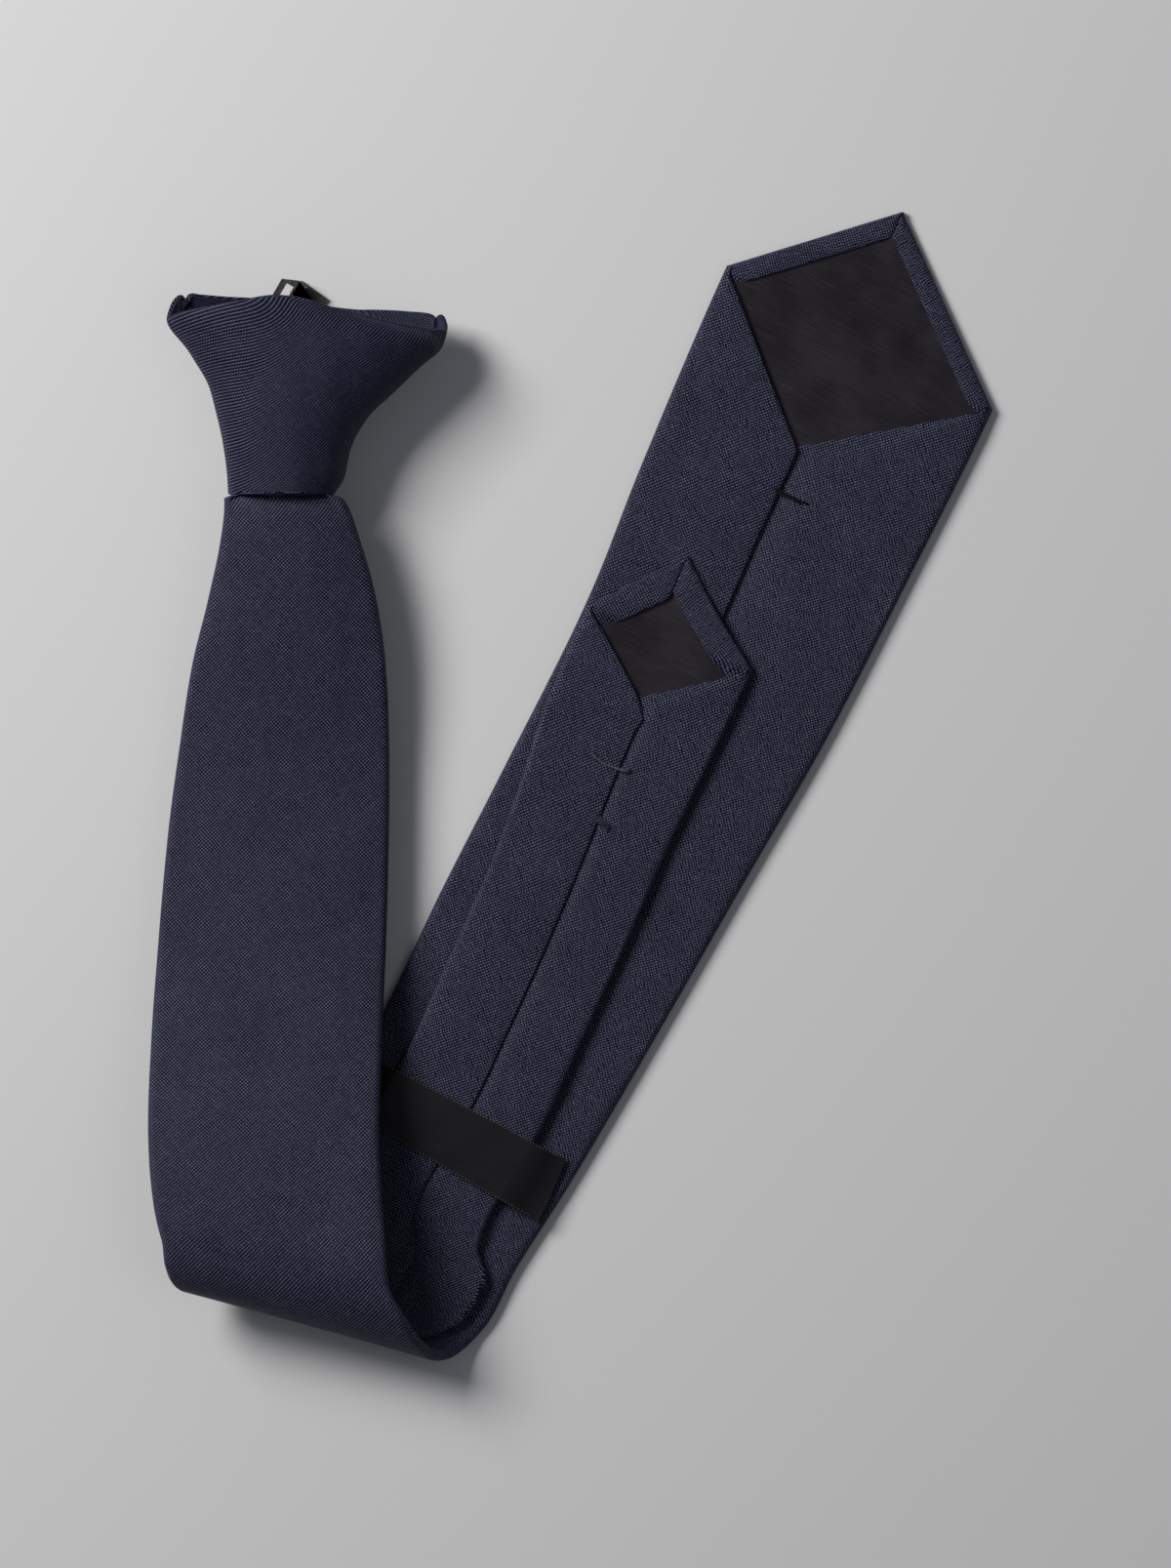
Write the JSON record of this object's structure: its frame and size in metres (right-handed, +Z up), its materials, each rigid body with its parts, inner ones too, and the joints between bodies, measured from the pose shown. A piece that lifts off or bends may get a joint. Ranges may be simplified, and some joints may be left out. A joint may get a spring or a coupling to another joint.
{
  "type": "clip-on tie",
  "caption": "Navy twill clip-on tie laid front up and folded under itself, with a ready-made knot, steel clip, lined point, tail and keeper label.",
  "frame": {"origin": "middle of the laid tie's outline, on the surface that it lies on", "axes": "+Y from the fold towards the knot and the point, +Z up off the surface, +X towards the wide blade's point"},
  "size_m": [0.2032, 0.2764, 0.027],
  "materials": {
    "navy_cloth": "fine twill weave, soft dull sheen",
    "tipping_satin": "smooth charcoal satin lining",
    "label_satin": "black woven satin ribbon, bare",
    "clip_steel": "dark gunmetal, bright worn edges"
  },
  "bodies": {
    "tie": {"wide_blade": "navy_cloth", "wide_tipping": "tipping_satin", "tail_blade": "navy_cloth", "tail_tipping": "tipping_satin", "keeper_label": "label_satin", "knot": "navy_cloth", "clip_base": "clip_steel", "clip_pin": "clip_steel"},
    "lever": {"clip_lever": "clip_steel"}
  },
  "joints": [
    {"name": "clip_hinge", "type": "hinge", "parent": "tie", "child": "lever", "pos_m": [-0.06797, 0.11193, 0.00221], "axis": [0.866, -0.5, 0], "range_deg": [0, 15], "stiffness_Nm_per_rad": 0.05, "springref_deg": -28.65}
  ]
}
